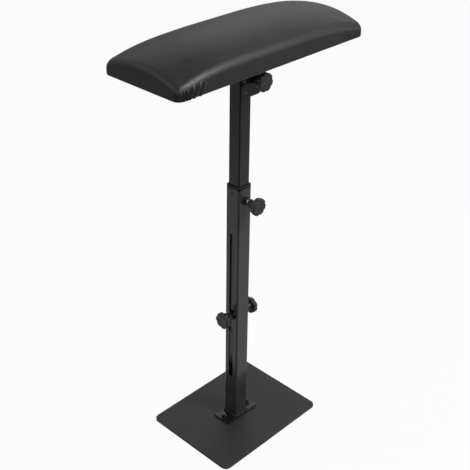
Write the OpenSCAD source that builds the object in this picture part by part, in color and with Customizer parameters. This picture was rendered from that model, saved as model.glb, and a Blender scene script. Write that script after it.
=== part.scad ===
/* [Base plate] */
// Length of the base plate, along the cushion
base_l = 250; // [200:5:320]
// Width of the base plate
base_w = 195; // [160:5:260]
// Thickness of the base plate
base_t = 4; // [3.5:0.5:8]
// Corner radius of the base plate
base_corner_r = 12; // [6:1:30]
// Bevel along the top edge of the base plate
base_bevel = 0.8; // [0.4:0.1:1.5]

/* [Post foot] */
// Length of the foot flange
flange_l = 78; // [76:1:100]
// Width of the foot flange
flange_w = 38; // [38:1:60]
// Thickness of the foot flange
flange_t = 3; // [2:0.5:6]
// Corner radius of the foot flange
flange_corner_r = 3; // [1:0.5:8]
// Distance between the two foot screws
foot_screw_span = 60; // [58:1:62]
// Thread diameter of the foot screws
foot_screw_d = 6; // [5:0.5:6]
// Leg of the weld bead round the foot of the post
foot_weld_leg = 3; // [2:0.5:4]

/* [Outer tube] */
// Side of the square outer tube
outer_side = 30; // [28:1:32]
// Wall of the outer tube
outer_wall = 1.5; // [1:0.25:2]
// Length of the outer tube
outer_l = 487; // [460:1:600]
// Length of the two slots
slot_l = 310; // [200:5:320]
// Width of the two slots
slot_w = 10; // [9:0.5:12]
// Distance from the top of the outer tube to the slots
slot_drop = 86; // [60:1:100]

/* [Inner tube] */
// Wall of the inner tube
inner_wall = 1.5; // [1:0.25:2]
// Length of the inner tube
inner_l = 485; // [440:1:560]
// Height of the cross bolt above its lowest place in the slots
mast_lift = 133; // [60:1:160]
// Distance from the lower end of the inner tube to the cross bolt
cross_bolt_inset = 33; // [22:1:60]

/* [Clamping knobs] */
// Thread diameter of the clamping screws
clamp_d = 8; // [6:0.5:8]
// Diameter of a knob over its lobes
knob_d = 31; // [26:1:40]
// Number of lobes on a knob
knob_lobes = 7; // [5:1:9]
// Thickness of the lobed head
knob_head_h = 9; // [7:0.5:14]
// Length of the hub behind the head
knob_hub_h = 14; // [8:0.5:16]
// Diameter of the hub
knob_hub_d = 15; // [14:0.5:18]
// Distance from the top of the outer tube to the height clamp
height_knob_drop = 22; // [18:1:40]
// Distance from the outer tube to the hub of the height knob
height_knob_reach = 11; // [9:0.5:24]

/* [Tilt bracket] */
// Height of the bracket's web above the tilt axis
bracket_h = 32.5; // [30:0.5:60]
// Outside width of the bracket over both ears
bracket_w = 62; // [48:1:70]
// Sheet thickness of the bracket
bracket_t = 3; // [2:0.5:4]
// Length of the bracket's web
web_l = 120; // [90:1:200]
// Width of an ear
ear_w = 40; // [30:1:44]
// Distance from the tilt axis to the lower edge of an ear
ear_drop = 27; // [20:0.5:32]
// Outside diameter of the pivot barrel
barrel_d = 20; // [14:1:21]

/* [Cushion] */
// Length of the cushion
pad_l = 410; // [300:5:500]
// Width of the cushion
pad_w = 160; // [120:5:240]
// Thickness of the cushion at its crown
pad_t = 53; // [40:1:80]
// Height of the upright edge band of the cushion
pad_edge_h = 15; // [15:0.5:22]
// Corner radius of the cushion
pad_corner_r = 12; // [6:1:30]
// Thickness of the plywood board
board_t = 12; // [10:1:13]
// Thickness of the imitation leather with its lining
cover_t = 1; // [0.8:0.1:1.5]
// Width of the cover turned in under the board
fold_w = 22; // [16:1:28]

/* [Hidden] */

// Facets of a full circle
$fn = 64;
// How far a cutter runs past the face that it cuts
overrun = 1;
// Gap round a threaded shank in its hole or nut
thread_gap = 0.05;
// Gap round a bolt in a plain hole
hole_gap = 0.1;
// Gap between two faces that slide on each other
slide_gap = 0.05;
// Gap each side of a sliding tube in its guide
guide_gap = 0.1;

// Foot flange and its fasteners
foot_z = base_t + flange_t;
screw_recess = 0.2;
csk_h = foot_screw_d / 2;
foot_nut_af_share = 10 / 6;
foot_nut_h_share = 5 / 6;
foot_washer_share = 12 / 6;
foot_washer_t = 1.2;
foot_screw_tip = 2;
foot_nut_z = foot_z + foot_washer_t;
foot_nut_h = foot_screw_d * foot_nut_h_share;

// Outer tube
outer_corner_r = 2 * outer_wall;
outer_in = outer_side - 2 * outer_wall;
outer_in_r = outer_corner_r - outer_wall;
outer_top = foot_z + outer_l;
height_z = outer_top - height_knob_drop;
height_hole_gap = 0.5;
slot_low = outer_top - slot_drop - slot_l;

// Plastic guide at the top of the outer tube
guide_wall = 1;
collar_h = 6;
collar_bevel = 0.8;
skirt_l = 13;
peg_drop = 8;
peg_d = 4;
peg_inset = 0.3;

// Inner tube
inner_side = outer_in - 2 * guide_wall;
inner_corner_r = 2.5;
inner_in = inner_side - 2 * inner_wall;
inner_in_r = inner_corner_r - inner_wall;
cross_z = slot_low + slot_w / 2 + mast_lift;
inner_low = cross_z - cross_bolt_inset;
inner_top = inner_low + inner_l;
plug_flange_h = 3;
plug_skirt_l = 12;
plug_wall = 2;
pivot_above_tube = 4;
pivot_z = inner_top + pivot_above_tube;

// Clamping screws, their washers and nuts
clamp_nut_af_share = 13 / 8;
clamp_nut_h_share = 6.5 / 8;
clamp_head_h_share = 5.3 / 8;
clamp_washer_share = 20 / 8;
clamp_washer_t = 1.6;
clamp_nut_af = clamp_d * clamp_nut_af_share;
clamp_nut_h = clamp_d * clamp_nut_h_share;
knob_h = knob_hub_h + knob_head_h;
insert_wall = 1.4;
insert_l = 12;
insert_spare = 1;
insert_d = clamp_d + 2 * insert_wall;
insert_groove = 0.5;
bolt_engaged = insert_l - insert_spare;
knob_bore_l = insert_l + insert_spare;
knob_bevel = 1.2;
scallop_share = 0.15;
valley_share = 0.452;
slot_face_x = outer_side / 2 + slide_gap;
slot_hub_x = slot_face_x + clamp_washer_t;

// Tilt bracket and pivot
ear_in = bracket_w / 2 - bracket_t;
ear_corner_r = 14;
web_z = pivot_z + bracket_h;
web_corner_r = 6;
bend_r = bracket_t * 1.5;
pivot_washer_t = 1.5;
barrel_half = ear_in - pivot_washer_t - slide_gap;
barrel_weld_leg = 2;
tilt_hub_y = bracket_w / 2 + clamp_washer_t;

// Fasteners of the cushion
pad_screw_d = 6;
pad_screw_head_d = 12;
pad_screw_head_h = 4;
pad_screw_key_share = 4 / 6;
pad_screw_edge = 10;
pad_screw_x = web_l / 2 - pad_screw_edge;
pad_screw_y_share = 0.28;
pad_screw_y = bracket_w * pad_screw_y_share;
tee_flange_d = 18;
tee_flange_t = 1.2;
tee_wall = 1.2;
tee_short = 3;
tee_l = board_t - tee_short;
pad_screw_l = bracket_t + board_t;
staple_wire = 0.7;
staple_crown = 10;
staple_leg = 7;
staple_in_share = 0.55;
staple_pitch = 36;

// Cushion heights and the rule of its crown
backing_t = 0.5;
board_z = web_z + backing_t;
pad_z = board_z - cover_t;
pad_bevel = 1.5;
crown_end_share = 0.505;
crown_end_power = 3.48;
crown_side_share = 0.506;
crown_side_power = 1.9;
crown_join = 1.135;
crown_roll_r = min(10, pad_corner_r - cover_t - 1);
corner_steps = 4;
long_steps = 8;
short_steps = 4;
roll_steps = 3;
crown_shares = [0.94, 0.86, 0.75, 0.6, 0.42, 0.22];

// Rounded square or rectangle, flat
module rounded(l, w, r) {
    square([l - 2 * r, w], center = true);
    square([l, w - 2 * r], center = true);
    for (x = [-1, 1], y = [-1, 1]) {
        translate([x * (l / 2 - r), y * (w / 2 - r)]) circle(r);
    }
}

// Plate with rounded corners and a bevel along its top edge
module bevelled_plate(l, w, h, r, c) {
    linear_extrude(h - c) rounded(l, w, r);
    translate([0, 0, h - c]) bevelled_top(l, w, r, c);
}

// Rounded rectangle whose sides slope in all round by its own height
module bevelled_top(l, w, r, c) {
    bevel_bar(l - 2 * r, w, c);
    rotate([0, 0, 90]) bevel_bar(w - 2 * r, l, c);
    for (x = [-1, 1], y = [-1, 1]) {
        translate([x * (l / 2 - r), y * (w / 2 - r), 0]) cylinder(h = c, r1 = r, r2 = r - c);
    }
}

// Bar along X whose two long edges slope in by its own height
module bevel_bar(l, w, c) {
    outline = [[-w / 2, 0], [w / 2, 0], [w / 2 - c, c], [c - w / 2, c]];
    rotate([90, 0, 90]) linear_extrude(l, center = true) polygon(outline);
}

// Square tube standing on its end
module square_tube(side, wall, r, r_in, l) {
    difference() {
        linear_extrude(l) rounded(side, side, r);
        translate([0, 0, -overrun]) {
            linear_extrude(l + 2 * overrun) rounded(side - 2 * wall, side - 2 * wall, r_in);
        }
    }
}

// Hexagon across its flats, standing on its end
module hex(af, h) {
    cylinder(h = h, d = af / cos(30), $fn = 6);
}

// Slot standing upright, cut along X
module slot_cut(w, l, depth) {
    rotate([0, 90, 0]) linear_extrude(depth, center = true) {
        translate([-l / 2, 0]) square([l - w, w], center = true);
        for (z = [w / 2, l - w / 2]) translate([-z, 0]) circle(d = w);
    }
}

module at_foot_screws() {
    for (x = [-1, 1]) translate([x * foot_screw_span / 2, 0, 0]) children();
}

module base_plate() {
    color("#161616") difference() {
        bevelled_plate(base_l, base_w, base_t, base_corner_r, base_bevel);
        at_foot_screws() {
            translate([0, 0, -overrun]) cylinder(h = base_t + 2 * overrun, r = foot_screw_d / 2 + hole_gap);
            translate([0, 0, -overrun]) cylinder(h = screw_recess + overrun, r = foot_screw_d + hole_gap);
            translate([0, 0, screw_recess]) {
                cylinder(h = csk_h, r1 = foot_screw_d + hole_gap, r2 = foot_screw_d / 2 + hole_gap);
            }
        }
    }
}

module post_flange() {
    color("#161616") translate([0, 0, base_t]) difference() {
        linear_extrude(flange_t) rounded(flange_l, flange_w, flange_corner_r);
        at_foot_screws() translate([0, 0, -overrun]) {
            cylinder(h = flange_t + 2 * overrun, r = foot_screw_d / 2 + hole_gap);
        }
    }
}

module flange_screws() {
    color("#2a2a2a") at_foot_screws() translate([0, 0, screw_recess]) {
        cylinder(h = csk_h, r1 = foot_screw_d, r2 = foot_screw_d / 2);
        cylinder(h = foot_nut_z + foot_nut_h + foot_screw_tip - screw_recess, d = foot_screw_d);
    }
}

module flange_washers() {
    color("#2a2a2a") at_foot_screws() translate([0, 0, foot_z]) difference() {
        cylinder(h = foot_washer_t, d = foot_screw_d * foot_washer_share);
        translate([0, 0, -overrun]) {
            cylinder(h = foot_washer_t + 2 * overrun, r = foot_screw_d / 2 + hole_gap);
        }
    }
}

module flange_nuts() {
    color("#2a2a2a") at_foot_screws() translate([0, 0, foot_nut_z]) difference() {
        hex(foot_screw_d * foot_nut_af_share, foot_nut_h);
        translate([0, 0, -overrun]) {
            cylinder(h = foot_nut_h + 2 * overrun, r = foot_screw_d / 2 + thread_gap);
        }
    }
}

module post_weld() {
    bead = outer_side + 2 * foot_weld_leg;
    color("#1c1c1c") translate([0, 0, foot_z]) difference() {
        bevelled_top(bead, bead, outer_corner_r + foot_weld_leg, foot_weld_leg);
        translate([0, 0, -overrun]) {
            linear_extrude(foot_weld_leg + 2 * overrun) rounded(outer_side, outer_side, outer_corner_r);
        }
    }
}

module outer_tube() {
    color("#181818") difference() {
        translate([0, 0, foot_z]) {
            square_tube(outer_side, outer_wall, outer_corner_r, outer_in_r, outer_l);
        }
        translate([0, 0, slot_low]) slot_cut(slot_w, slot_l, outer_side + 2 * overrun);
        translate([0, -outer_in / 2 + overrun, height_z]) rotate([90, 0, 0]) {
            cylinder(h = outer_wall + 2 * overrun, r = clamp_d / 2 + height_hole_gap);
        }
        translate([0, 0, outer_top - peg_drop]) rotate([0, 90, 0]) {
            cylinder(h = outer_side + 2 * overrun, d = peg_d + 2 * hole_gap, center = true);
        }
    }
}

module guide_collar() {
    bore = inner_side + 2 * guide_gap;
    bore_r = inner_corner_r + guide_gap;
    color("#0d0d0d") difference() {
        union() {
            translate([0, 0, outer_top]) {
                bevelled_plate(outer_side, outer_side, collar_h, outer_corner_r, collar_bevel);
            }
            translate([0, 0, outer_top - skirt_l]) {
                linear_extrude(skirt_l) rounded(outer_in, outer_in, outer_in_r);
            }
            translate([0, 0, outer_top - peg_drop]) rotate([0, 90, 0]) {
                cylinder(h = outer_side - 2 * peg_inset, d = peg_d, center = true);
            }
        }
        translate([0, 0, outer_top - skirt_l - overrun]) {
            linear_extrude(skirt_l + collar_h + 2 * overrun) rounded(bore, bore, bore_r);
        }
    }
}

// Nut welded to the face of the outer tube for the height clamp
module clamp_nut() {
    color("#181818") translate([0, -outer_side / 2, height_z]) rotate([90, 0, 0]) difference() {
        hex(clamp_nut_af, clamp_nut_h);
        translate([0, 0, -overrun]) cylinder(h = clamp_nut_h + 2 * overrun, r = clamp_d / 2 + thread_gap);
    }
}

module inner_tube() {
    color("#1b1b1b") difference() {
        translate([0, 0, inner_low]) {
            square_tube(inner_side, inner_wall, inner_corner_r, inner_in_r, inner_l);
        }
        translate([0, 0, cross_z]) rotate([0, 90, 0]) {
            cylinder(h = inner_side + 2 * overrun, r = clamp_d / 2 + hole_gap, center = true);
        }
        translate([0, 0, pivot_z]) rotate([90, 0, 0]) {
            cylinder(h = inner_side + 2 * overrun, d = barrel_d, center = true);
        }
    }
}

// Plastic end plug that guides the lower end of the inner tube
module inner_tube_plug() {
    side = outer_in - 2 * guide_gap;
    color("#0d0d0d") translate([0, 0, inner_low - plug_flange_h]) {
        linear_extrude(plug_flange_h) rounded(side, side, outer_in_r);
        square_tube(inner_in, plug_wall, inner_in_r, inner_in_r / 2, plug_flange_h + plug_skirt_l);
    }
}

// Threaded rod across the inner tube, which runs in both slots
module cross_bolt() {
    color("silver") translate([0, 0, cross_z]) rotate([0, 90, 0]) {
        cylinder(h = 2 * (slot_hub_x + bolt_engaged), d = clamp_d, center = true);
    }
}

module washer(hole_r) {
    difference() {
        cylinder(h = clamp_washer_t, d = clamp_d * clamp_washer_share);
        translate([0, 0, -overrun]) cylinder(h = clamp_washer_t + 2 * overrun, r = hole_r);
    }
}

module slot_washers() {
    color("#303030") translate([0, 0, cross_z]) for (s = [-1, 1]) {
        rotate([0, s * 90, 0]) translate([0, 0, slot_face_x]) washer(clamp_d / 2 + hole_gap);
    }
}

// Barrel welded across the top of the inner tube for the tilt bolt
module pivot_barrel() {
    color("#1b1b1b") translate([0, 0, pivot_z]) rotate([90, 0, 0]) difference() {
        cylinder(h = 2 * barrel_half, d = barrel_d, center = true);
        cylinder(h = 2 * (barrel_half + overrun), r = clamp_d / 2 + thread_gap, center = true);
    }
}

// Weld bead where the barrel leaves each face of the inner tube, below the tube's top
module barrel_weld() {
    color("#242424") intersection() {
        translate([0, 0, pivot_z]) for (s = [-1, 1]) rotate([s * 90, 0, 0]) {
            translate([0, 0, inner_side / 2]) difference() {
                cylinder(h = barrel_weld_leg, r1 = barrel_d / 2 + barrel_weld_leg, r2 = barrel_d / 2);
                translate([0, 0, -overrun]) cylinder(h = barrel_weld_leg + 2 * overrun, d = barrel_d);
            }
        }
        translate([-inner_side / 2, -inner_side, inner_top - inner_side]) {
            cube([inner_side, 2 * inner_side, inner_side]);
        }
    }
}

// Side view of an ear and the web over it, with the ear's lower corners rounded
module ear_outline() {
    translate([-ear_w / 2, ear_corner_r - ear_drop]) {
        square([ear_w, bracket_h + ear_drop - ear_corner_r]);
    }
    translate([ear_corner_r - ear_w / 2, -ear_drop]) square([ear_w - 2 * ear_corner_r, ear_drop]);
    for (s = [-1, 1]) {
        translate([s * (ear_w / 2 - ear_corner_r), ear_corner_r - ear_drop]) circle(ear_corner_r);
    }
}

// End view of the bent sheet: two ears and the web, with rounded bends
module bracket_section() {
    difference() {
        union() {
            translate([-bracket_w / 2, -ear_drop]) square([bracket_w, ear_drop + bracket_h - bend_r]);
            translate([bend_r - bracket_w / 2, 0]) square([bracket_w - 2 * bend_r, bracket_h]);
            for (s = [-1, 1]) translate([s * (bracket_w / 2 - bend_r), bracket_h - bend_r]) circle(bend_r);
        }
        translate([-ear_in, -ear_drop - overrun]) {
            square([2 * ear_in, ear_drop + overrun + bracket_h - bend_r]);
        }
        translate([bend_r - bracket_w / 2, 0]) {
            square([bracket_w - 2 * bend_r, bracket_h - bracket_t]);
        }
        for (s = [-1, 1]) {
            translate([s * (bracket_w / 2 - bend_r), bracket_h - bend_r]) circle(bend_r - bracket_t);
        }
    }
}

module at_pad_screws() {
    for (x = [-1, 1], y = [-1, 1]) translate([x * pad_screw_x, y * pad_screw_y, 0]) children();
}

module tilt_bracket() {
    color("#1a1a1a") difference() {
        translate([0, 0, pivot_z]) union() {
            intersection() {
                rotate([90, 0, 90]) linear_extrude(ear_w, center = true) bracket_section();
                rotate([90, 0, 0]) linear_extrude(bracket_w + 2 * overrun, center = true) ear_outline();
            }
            translate([0, 0, bracket_h - bracket_t]) linear_extrude(bracket_t) {
                rounded(web_l, bracket_w - 2 * bend_r, web_corner_r);
            }
        }
        translate([0, 0, pivot_z]) rotate([90, 0, 0]) {
            cylinder(h = bracket_w + 2 * overrun, r = clamp_d / 2 + hole_gap, center = true);
        }
        at_pad_screws() translate([0, 0, web_z - bracket_t - overrun]) {
            cylinder(h = bracket_t + 2 * overrun, r = pad_screw_d / 2 + hole_gap);
        }
    }
}

// Fibre washers between the barrel and the ears
module pivot_washers() {
    color("#5a2a1c") translate([0, 0, pivot_z]) for (s = [-1, 1]) rotate([s * 90, 0, 0]) {
        translate([0, 0, ear_in - pivot_washer_t]) difference() {
            cylinder(h = pivot_washer_t, d = barrel_d);
            translate([0, 0, -overrun]) {
                cylinder(h = pivot_washer_t + 2 * overrun, r = clamp_d / 2 + hole_gap);
            }
        }
    }
}

module tilt_bolt() {
    reach = bracket_w / 2 + tilt_hub_y + bolt_engaged;
    color("silver") translate([0, bracket_w / 2, pivot_z]) {
        rotate([-90, 0, 0]) hex(clamp_nut_af, clamp_d * clamp_head_h_share);
        rotate([90, 0, 0]) cylinder(h = reach, d = clamp_d);
    }
}

module tilt_washer() {
    color("#303030") translate([0, -bracket_w / 2, pivot_z]) rotate([90, 0, 0]) {
        washer(clamp_d / 2 + hole_gap);
    }
}

module pad_screws() {
    d = pad_screw_head_d;
    half = pad_screw_head_h / 2;
    color("silver") at_pad_screws() translate([0, 0, web_z - bracket_t]) {
        cylinder(h = pad_screw_l, d = pad_screw_d);
        translate([0, 0, -pad_screw_head_h]) difference() {
            union() {
                cylinder(h = half, d1 = d - pad_screw_head_h, d2 = d);
                translate([0, 0, half]) cylinder(h = half, d = d);
            }
            translate([0, 0, -overrun]) hex(pad_screw_d * pad_screw_key_share, half + overrun);
        }
    }
}

// Threaded tee nuts let into the board from above
module pad_tee_nuts() {
    color("silver") at_pad_screws() translate([0, 0, board_z + board_t]) difference() {
        union() {
            translate([0, 0, -tee_flange_t]) cylinder(h = tee_flange_t, d = tee_flange_d);
            translate([0, 0, -tee_l]) cylinder(h = tee_l, r = pad_screw_d / 2 + tee_wall);
        }
        translate([0, 0, -tee_l - overrun]) {
            cylinder(h = tee_l + 2 * overrun, r = pad_screw_d / 2 + thread_gap);
        }
    }
}

// Outline of the cushion drawn in by an inset, run round from the middle of a corner
function side_points(a, b, steps) = [for (i = [1:steps - 1]) a + (b - a) * i / steps];
function corner_points(c, r, start) = [
    for (i = [0:corner_steps])
        let (turn = start + 90 * i / corner_steps)
        c + r * [cos(turn), sin(turn)]
];
function pad_outline(inset) =
    let (
        r = pad_corner_r - inset,
        x = pad_l / 2 - pad_corner_r,
        y = pad_w / 2 - pad_corner_r,
        a = corner_points([x, y], r, 0),
        b = corner_points([-x, y], r, 90),
        c = corner_points([-x, -y], r, 180),
        d = corner_points([x, -y], r, 270),
        last = corner_steps
    )
    concat(
        a, side_points(a[last], b[0], long_steps),
        b, side_points(b[last], c[0], short_steps),
        c, side_points(c[last], d[0], long_steps),
        d, side_points(d[last], a[0], short_steps)
    );

// How far the cushion's top drops from its middle at a place given as shares of the half sides
function crown_drop(u, v) =
    (pad_t - pad_edge_h) * pow(
        pow(crown_end_share * pow(abs(u), crown_end_power), crown_join)
        + pow(crown_side_share * pow(abs(v), crown_side_power), crown_join), 1 / crown_join);

// Height of the cushion's surface at a place that lies d in from the outline, rolled over along the edge
function crown_z(p, d, inset) =
    let (
        top = pad_t - inset - crown_drop(p[0] / (pad_l / 2), p[1] / (pad_w / 2)),
        roll = min(crown_roll_r, top - pad_edge_h),
        t = max(0, 1 - d / roll)
    )
    pad_z + top - roll * (1 - sqrt(1 - t * t));

// One ring of the cushion's surface
function crown_ring(outline, d, inset) = [for (p = outline) [p[0], p[1], crown_z(p, d, inset)]];

// Closed cushion form between a flat bottom and the crown
module crowned(inset, low, bevel) {
    outline = pad_outline(inset);
    inner = pad_outline(inset + crown_roll_r);
    n = len(outline);
    bottom = [for (p = pad_outline(inset + bevel)) [p[0], p[1], low]];
    side = [for (p = outline) [p[0], p[1], low + bevel]];
    rings = concat(
        [for (i = [0:roll_steps])
            let (d = crown_roll_r * (1 - cos(90 * i / roll_steps)))
            crown_ring(pad_outline(inset + d), d, inset)],
        [for (r = crown_shares) crown_ring([for (p = inner) r * p], crown_roll_r, inset)]
    );
    skirt = bevel > 0 ? concat(bottom, side) : side;
    levels = len(rings) + (bevel > 0 ? 2 : 1);
    points = concat(skirt, [for (ring = rings) each ring], [[0, 0, pad_z + pad_t - inset], [0, 0, low]]);
    walls = [
        for (k = [0:levels - 2], i = [0:n - 1])
            let (j = (i + 1) % n)
            each [[k * n + i, (k + 1) * n + i, (k + 1) * n + j], [k * n + i, (k + 1) * n + j, k * n + j]]
    ];
    cap = [for (i = [0:n - 1]) [(levels - 1) * n + i, levels * n, (levels - 1) * n + (i + 1) % n]];
    base = [for (i = [0:n - 1]) [i, (i + 1) % n, levels * n + 1]];
    polyhedron(points, concat(base, walls, cap), convexity = 4);
}

module pad_board() {
    color("#b58a55") translate([0, 0, board_z]) difference() {
        linear_extrude(board_t) polygon(pad_outline(cover_t));
        at_pad_screws() {
            translate([0, 0, -overrun]) cylinder(h = board_t + 2 * overrun, r = pad_screw_d / 2 + tee_wall);
            translate([0, 0, board_t - tee_flange_t]) cylinder(h = tee_flange_t + overrun, d = tee_flange_d);
        }
    }
}

module pad_foam() {
    color("#d8c98a") crowned(cover_t, board_z + board_t, 0);
}

module pad_cover() {
    color("#202020") difference() {
        crowned(0, pad_z, pad_bevel);
        crowned(cover_t, board_z, 0);
        translate([0, 0, pad_z - overrun]) {
            linear_extrude(board_z + board_t - pad_z) polygon(pad_window());
        }
    }
}

// Window left open under the board inside the turned-in cover
function pad_window() =
    let (x = pad_l / 2 - fold_w, y = pad_w / 2 - fold_w)
    [[-x, -y], [x, -y], [x, y], [-x, y]];

module backing_cloth() {
    color("#2c2c2c") translate([0, 0, web_z]) difference() {
        linear_extrude(backing_t) polygon(pad_window());
        at_pad_screws() translate([0, 0, -overrun]) {
            cylinder(h = backing_t + 2 * overrun, r = pad_screw_d / 2 + hole_gap);
        }
    }
}

// One staple, its crown along X under the cover and its legs up in the board
module staple() {
    translate([-staple_crown / 2, -staple_wire / 2, -staple_wire]) {
        cube([staple_crown, staple_wire, staple_wire]);
        for (x = [0, staple_crown - staple_wire]) translate([x, 0, 0]) {
            cube([staple_wire, staple_wire, staple_wire + staple_leg]);
        }
    }
}

module staple_row(run, count) {
    for (i = [0:count - 1]) translate([run * ((i + 0.5) / count - 0.5), 0, 0]) staple();
}

module cover_staples() {
    inset = fold_w * staple_in_share;
    run_x = pad_l - 2 * fold_w;
    run_y = pad_w - 2 * fold_w;
    color("silver") translate([0, 0, pad_z]) for (s = [-1, 1]) {
        translate([0, s * (pad_w / 2 - inset), 0]) staple_row(run_x, round(run_x / staple_pitch));
        translate([s * (pad_l / 2 - inset), 0, 0]) rotate([0, 0, 90]) {
            staple_row(run_y, round(run_y / staple_pitch));
        }
    }
}

// Lobed knob along Z with its hub at the origin and a blind bore for its insert
module star_knob() {
    scallop_r = knob_d * scallop_share;
    scallop_x = knob_d * valley_share + scallop_r;
    color("#1e1e1e") difference() {
        union() {
            cylinder(h = knob_hub_h, d = knob_hub_d);
            translate([0, 0, knob_hub_h]) difference() {
                union() {
                    cylinder(h = knob_bevel, d1 = knob_d - 2 * knob_bevel, d2 = knob_d);
                    translate([0, 0, knob_bevel]) cylinder(h = knob_head_h - 2 * knob_bevel, d = knob_d);
                    translate([0, 0, knob_head_h - knob_bevel]) {
                        cylinder(h = knob_bevel, d1 = knob_d, d2 = knob_d - 2 * knob_bevel);
                    }
                }
                for (i = [0:knob_lobes - 1]) rotate([0, 0, 90 + (i + 0.5) * 360 / knob_lobes]) {
                    translate([scallop_x, 0, -overrun]) {
                        cylinder(h = knob_head_h + 2 * overrun, r = scallop_r);
                    }
                }
            }
        }
        translate([0, 0, -overrun]) cylinder(h = knob_bore_l + overrun, r = insert_d / 2 + thread_gap);
    }
}

// Round threaded insert that fills the bore of a knob
module knob_insert() {
    color("#b9a15a") difference() {
        cylinder(h = insert_l, d = insert_d);
        translate([0, 0, -overrun]) cylinder(h = insert_l + 2 * overrun, r = clamp_d / 2 + thread_gap);
        translate([0, 0, insert_l / 3]) difference() {
            cylinder(h = insert_l / 3, d = insert_d + overrun);
            translate([0, 0, -overrun]) cylinder(h = insert_l, d = insert_d - 2 * insert_groove);
        }
    }
}

module at_height_knob() {
    translate([0, -outer_side / 2 - height_knob_reach, height_z]) rotate([90, 0, 0]) children();
}

module at_slot_knob(side) {
    translate([side * slot_hub_x, 0, cross_z]) rotate([0, side * 90, 0]) children();
}

module at_tilt_knob() {
    translate([0, -tilt_hub_y, pivot_z]) rotate([90, 0, 0]) children();
}

// Clamping stud with its anchor inside the height knob, its tip at the inner tube
module height_stud() {
    reach = height_knob_reach + outer_wall + guide_wall - slide_gap;
    color("silver") at_height_knob() {
        cylinder(h = insert_l, d = insert_d);
        translate([0, 0, -reach]) cylinder(h = reach, d = clamp_d);
    }
}

module height_knob() {
    at_height_knob() star_knob();
}

module left_knob_insert() {
    at_slot_knob(-1) knob_insert();
}

module left_knob() {
    at_slot_knob(-1) star_knob();
}

module right_knob_insert() {
    at_slot_knob(1) knob_insert();
}

module right_knob() {
    at_slot_knob(1) star_knob();
}

module tilt_knob_insert() {
    at_tilt_knob() knob_insert();
}

module tilt_knob() {
    at_tilt_knob() star_knob();
}

base_plate();
post_flange();
flange_screws();
flange_washers();
flange_nuts();
post_weld();
outer_tube();
guide_collar();
clamp_nut();
inner_tube();
inner_tube_plug();
cross_bolt();
slot_washers();
pivot_barrel();
barrel_weld();
tilt_bracket();
pivot_washers();
tilt_bolt();
tilt_washer();
pad_screws();
pad_tee_nuts();
pad_board();
pad_foam();
pad_cover();
backing_cloth();
cover_staples();
height_stud();
height_knob();
left_knob_insert();
left_knob();
right_knob_insert();
right_knob();
tilt_knob_insert();
tilt_knob();
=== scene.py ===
from math import copysign, cos, exp, hypot, pi, radians, sin, sqrt
from types import SimpleNamespace

import bmesh
import bpy
import numpy as np
from mathutils import Matrix, Vector, kdtree


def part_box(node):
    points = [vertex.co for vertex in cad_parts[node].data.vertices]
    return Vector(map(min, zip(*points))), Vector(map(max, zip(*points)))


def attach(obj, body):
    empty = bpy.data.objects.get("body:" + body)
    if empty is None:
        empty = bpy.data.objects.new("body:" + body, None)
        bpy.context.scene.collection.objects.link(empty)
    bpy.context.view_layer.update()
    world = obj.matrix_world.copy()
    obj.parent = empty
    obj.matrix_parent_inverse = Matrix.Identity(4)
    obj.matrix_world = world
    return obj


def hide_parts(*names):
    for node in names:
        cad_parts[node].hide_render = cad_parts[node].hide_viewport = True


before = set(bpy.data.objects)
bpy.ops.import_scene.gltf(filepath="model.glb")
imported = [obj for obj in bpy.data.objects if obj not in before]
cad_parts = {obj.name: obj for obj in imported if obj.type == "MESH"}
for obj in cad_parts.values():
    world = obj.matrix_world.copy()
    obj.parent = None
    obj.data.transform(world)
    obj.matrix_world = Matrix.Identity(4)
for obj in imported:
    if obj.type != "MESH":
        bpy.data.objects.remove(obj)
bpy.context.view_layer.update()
scene = bpy.context.scene
scene.view_settings.view_transform = "Standard"

# mesh helpers

mergeWithin = 1e-6


def inScene(name, data):
    obj = bpy.data.objects.new(name, data)
    scene.collection.objects.link(obj)
    return obj


def shadedSmooth(mesh):
    for poly in mesh.polygons:
        poly.use_smooth = True


def newMesh(name, verts, faces):
    mesh = bpy.data.meshes.new(name)
    mesh.from_pydata([tuple(map(float, v)) for v in verts], [], faces)
    mesh.validate()
    shadedSmooth(mesh)
    return inScene(name, mesh)


def outward(obj):
    work = bmesh.new()
    work.from_mesh(obj.data)
    bmesh.ops.remove_doubles(work, verts=work.verts, dist=mergeWithin)
    bmesh.ops.dissolve_degenerate(work, dist=mergeWithin, edges=work.edges)
    bmesh.ops.recalc_face_normals(work, faces=work.faces)
    work.to_mesh(obj.data)
    work.free()
    return obj


def gridFaces(rows, cols, wrap):
    faces = []
    for i in range(rows - 1):
        for j in range(cols if wrap else cols - 1):
            k = (j + 1) % cols
            faces.append((i * cols + j, i * cols + k, (i + 1) * cols + k, (i + 1) * cols + j))
    return faces


def quarterTurn(count):  # angles from 0 to 90 degrees
    return np.linspace(0, pi / 2, count)


def ringOf(radius, height, count=48):  # radius is a number, or a function of the angle
    ring = []
    for j in range(count):
        angle = 2 * pi * j / count
        r = radius(angle) if callable(radius) else radius
        ring.append((r * cos(angle), r * sin(angle), height))
    return ring


def ringStack(name, rings):  # both ends are closed on a centre point
    count = len(rings[0])
    verts = [p for ring in rings for p in ring]
    faces = gridFaces(len(rings), count, True)
    for ring, start in ((rings[0], 0), (rings[-1], (len(rings) - 1) * count)):
        centre = len(verts)
        verts.append(tuple(np.mean(np.array(ring), axis=0)))
        for j in range(count):
            a, b = start + j, start + (j + 1) % count
            faces.append((centre, b, a) if start == 0 else (centre, a, b))
    return outward(newMesh(name, verts, faces))


def ringLoop(name, rings):  # the last ring joins the first one, round a bore
    count = len(rings[0])
    last = (len(rings) - 1) * count
    faces = gridFaces(len(rings), count, True)
    faces += [(last + j, last + (j + 1) % count, (j + 1) % count, j) for j in range(count)]
    return outward(newMesh(name, [p for ring in rings for p in ring], faces))


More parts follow.
